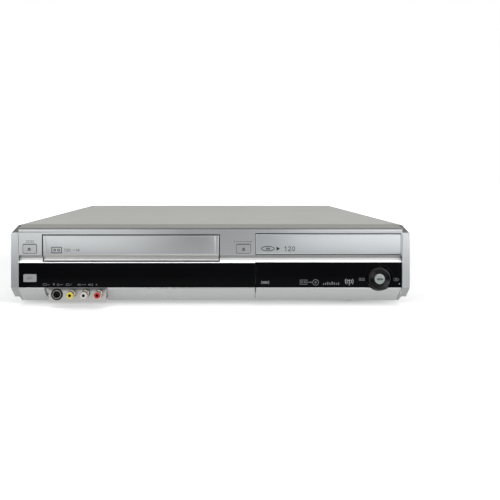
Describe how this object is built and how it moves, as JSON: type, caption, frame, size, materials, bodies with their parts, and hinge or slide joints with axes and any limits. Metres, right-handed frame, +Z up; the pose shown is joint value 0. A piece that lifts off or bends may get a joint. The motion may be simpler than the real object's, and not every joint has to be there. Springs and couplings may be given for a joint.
{
  "type": "dvd vcr combo player",
  "caption": "Disc and video cassette player: sheet cover, silver facia with cassette door, disc tray, drop-down flap, selector ring and front phono jacks.",
  "frame": {"origin": "on the table under the middle of the player, at the plane of the feet", "axes": "X right as seen from the front, Y from the facia to the rear panel, Z up"},
  "size_m": [0.4328, 0.365, 0.09],
  "materials": {
    "cover_paint": "satin powder coat",
    "rear_paint": "satin powder coat",
    "zinc_sheet": "galvanised",
    "facia_silver": "satin metallic paint",
    "window_black": "high gloss",
    "display_glass": "dark glass",
    "board_green": "solder resist",
    "board_tan": "paper laminate",
    "black_plastic": "fine texture",
    "grey_plastic": "fine texture",
    "white_plastic": "smooth",
    "nickel": "polished",
    "jack_yellow": "smooth",
    "jack_white": "smooth",
    "jack_red": "smooth",
    "foot_rubber": "matt",
    "screw_zinc": "zinc plated",
    "ferrite": "matt",
    "aluminium": "machined",
    "bright_steel": "ground",
    "roller_rubber": "ground",
    "button_silver": "satin metallic paint",
    "cap_sleeve": "shrink sleeve"
  },
  "bodies": {
    "case": {"chassis_tray": "zinc_sheet", "feet": "foot_rubber", "top_cover": "cover_paint", "rear_panel": "rear_paint", "case_screws": "screw_zinc", "front_panel": "facia_silver", "display_window": "window_black", "display_module": "display_glass", "front_board": "board_green", "front_jack_block": "black_plastic", "rca_shells": "nickel", "rca_yellow": "jack_yellow", "rca_white": "jack_white", "rca_red": "jack_red", "flap_sockets": "black_plastic", "main_board": "board_green", "board_chips": "black_plastic", "power_board": "board_tan", "transformer": "ferrite", "heatsinks": "aluminium", "capacitors": "cap_sleeve", "tuner_module": "zinc_sheet", "mains_inlet": "black_plastic", "scart_sockets": "black_plastic", "rear_jack_block": "black_plastic", "hdmi_socket": "nickel", "fan_frame": "black_plastic", "deck_plate": "zinc_sheet", "deck_brackets": "zinc_sheet", "lower_drum": "aluminium", "tape_heads": "grey_plastic", "tape_guides": "bright_steel", "deck_motors": "grey_plastic", "drive_base": "black_plastic", "drive_cover": "zinc_sheet", "sled_rails": "bright_steel"},
    "fan_rotor": {"fan_rotor": "black_plastic"},
    "tape_door": {"tape_door": "facia_silver"},
    "lift": {"lift_slider": "zinc_sheet"},
    "holder": {"cassette_holder": "zinc_sheet"},
    "head_drum": {"upper_drum": "aluminium"},
    "supply_reel": {"supply_reel": "grey_plastic"},
    "takeup_reel": {"takeup_reel": "grey_plastic"},
    "capstan": {"capstan": "bright_steel"},
    "pinch_arm": {"pinch_arm": "zinc_sheet"},
    "pinch_roller": {"pinch_roller": "roller_rubber"},
    "supply_carriage": {"supply_carriage": "bright_steel"},
    "takeup_carriage": {"takeup_carriage": "bright_steel"},
    "disc_tray": {"disc_tray": "black_plastic", "tray_door": "facia_silver"},
    "tray_gear": {"tray_gear": "white_plastic"},
    "disc_spindle": {"disc_spindle": "black_plastic"},
    "pickup": {"pickup_sled": "grey_plastic"},
    "flap": {"front_flap": "window_black", "flap_strip": "facia_silver"},
    "power_button": {"power_button": "button_silver"},
    "eject_button": {"eject_button": "facia_silver"},
    "tray_button": {"tray_button": "facia_silver"},
    "select_ring": {"select_ring": "window_black"},
    "select_button": {"select_button": "button_silver"}
  },
  "joints": [
    {"name": "fan_spin", "type": "hinge", "parent": "case", "child": "fan_rotor", "pos_m": [0.14, 0.163, 0.058], "axis": [0, 1, 0], "continuous": true},
    {"name": "tape_door_swing", "type": "hinge", "parent": "case", "child": "tape_door", "pos_m": [-0.0857, -0.1694, 0.0834], "axis": [1, 0, 0], "range_deg": [0, 86], "stiffness_Nm_per_rad": 0.01, "springref_deg": -17.19},
    {"name": "lift_travel", "type": "slide", "parent": "case", "child": "lift", "axis": [0, 1, 0], "range_m": [0, 0.056]},
    {"name": "holder_drop", "type": "slide", "parent": "lift", "child": "holder", "axis": [0, 0, -1], "range_m": [0, 0.02]},
    {"name": "head_drum_spin", "type": "hinge", "parent": "case", "child": "head_drum", "pos_m": [-0.082, 0.016, 0.0282], "axis": [0.1045, 0, 0.9945], "continuous": true},
    {"name": "supply_reel_spin", "type": "hinge", "parent": "case", "child": "supply_reel", "pos_m": [-0.1322, -0.099, 0.035], "axis": [0, 0, 1], "continuous": true},
    {"name": "takeup_reel_spin", "type": "hinge", "parent": "case", "child": "takeup_reel", "pos_m": [-0.0392, -0.099, 0.035], "axis": [0, 0, 1], "continuous": true},
    {"name": "capstan_spin", "type": "hinge", "parent": "case", "child": "capstan", "pos_m": [-0.027, -0.014, 0.02], "axis": [0, 0, 1], "continuous": true},
    {"name": "pinch_swing", "type": "hinge", "parent": "case", "child": "pinch_arm", "pos_m": [-0.009, -0.02, 0.031], "axis": [0, 0, 1], "range_deg": [-54, 0], "stiffness_Nm_per_rad": 0.02},
    {"name": "pinch_roller_spin", "type": "hinge", "parent": "pinch_arm", "child": "pinch_roller", "pos_m": [-0.0187, -0.03749, 0.04], "axis": [0, 0, 1], "continuous": true},
    {"name": "supply_load", "type": "slide", "parent": "case", "child": "supply_carriage", "axis": [-0.1888, 0.982, 0], "range_m": [0, 0.0529]},
    {"name": "takeup_load", "type": "slide", "parent": "case", "child": "takeup_carriage", "axis": [0.28, 0.96, 0], "range_m": [0, 0.05]},
    {"name": "tray_slide", "type": "slide", "parent": "case", "child": "disc_tray", "axis": [0, -1, 0], "range_m": [0, 0.135]},
    {"name": "tray_gear_spin", "type": "hinge", "parent": "case", "child": "tray_gear", "pos_m": [0.074, -0.13768, 0.061], "axis": [0, 0, 1], "range_deg": [0, 862]},
    {"name": "disc_spin", "type": "hinge", "parent": "case", "child": "disc_spindle", "pos_m": [0.12665, -0.1, 0.058], "axis": [0, 0, 1], "continuous": true},
    {"name": "pickup_travel", "type": "slide", "parent": "case", "child": "pickup", "axis": [0, 1, 0], "range_m": [-0.009, 0.03]},
    {"name": "flap_swing", "type": "hinge", "parent": "case", "child": "flap", "pos_m": [0.1276, -0.165, 0.015], "axis": [1, 0, 0], "range_deg": [0, 82]},
    {"name": "power_press", "type": "slide", "parent": "case", "child": "power_button", "axis": [0, 1, 0], "range_m": [0, 0.0008], "stiffness_N_per_m": 400, "springref_m": -0.0005},
    {"name": "eject_press", "type": "slide", "parent": "case", "child": "eject_button", "axis": [0, 1, 0], "range_m": [0, 0.0008], "stiffness_N_per_m": 400, "springref_m": -0.0005},
    {"name": "tray_press", "type": "slide", "parent": "case", "child": "tray_button", "axis": [0, 1, 0], "range_m": [0, 0.0008], "stiffness_N_per_m": 400, "springref_m": -0.0005},
    {"name": "select_press", "type": "slide", "parent": "case", "child": "select_button", "axis": [0, 1, 0], "range_m": [0, 0.0008], "stiffness_N_per_m": 400, "springref_m": -0.0005},
    {"name": "select_rock", "type": "hinge", "parent": "case", "child": "select_ring", "pos_m": [0.1823, -0.165, 0.0328], "axis": [0, 0, 1], "range_deg": [-2.5, 2.5], "stiffness_Nm_per_rad": 0.5}
  ],
  "couplings": [
    {"joint": "tray_gear_spin", "follows": "tray_slide", "rad_per_m": 111.11}
  ]
}
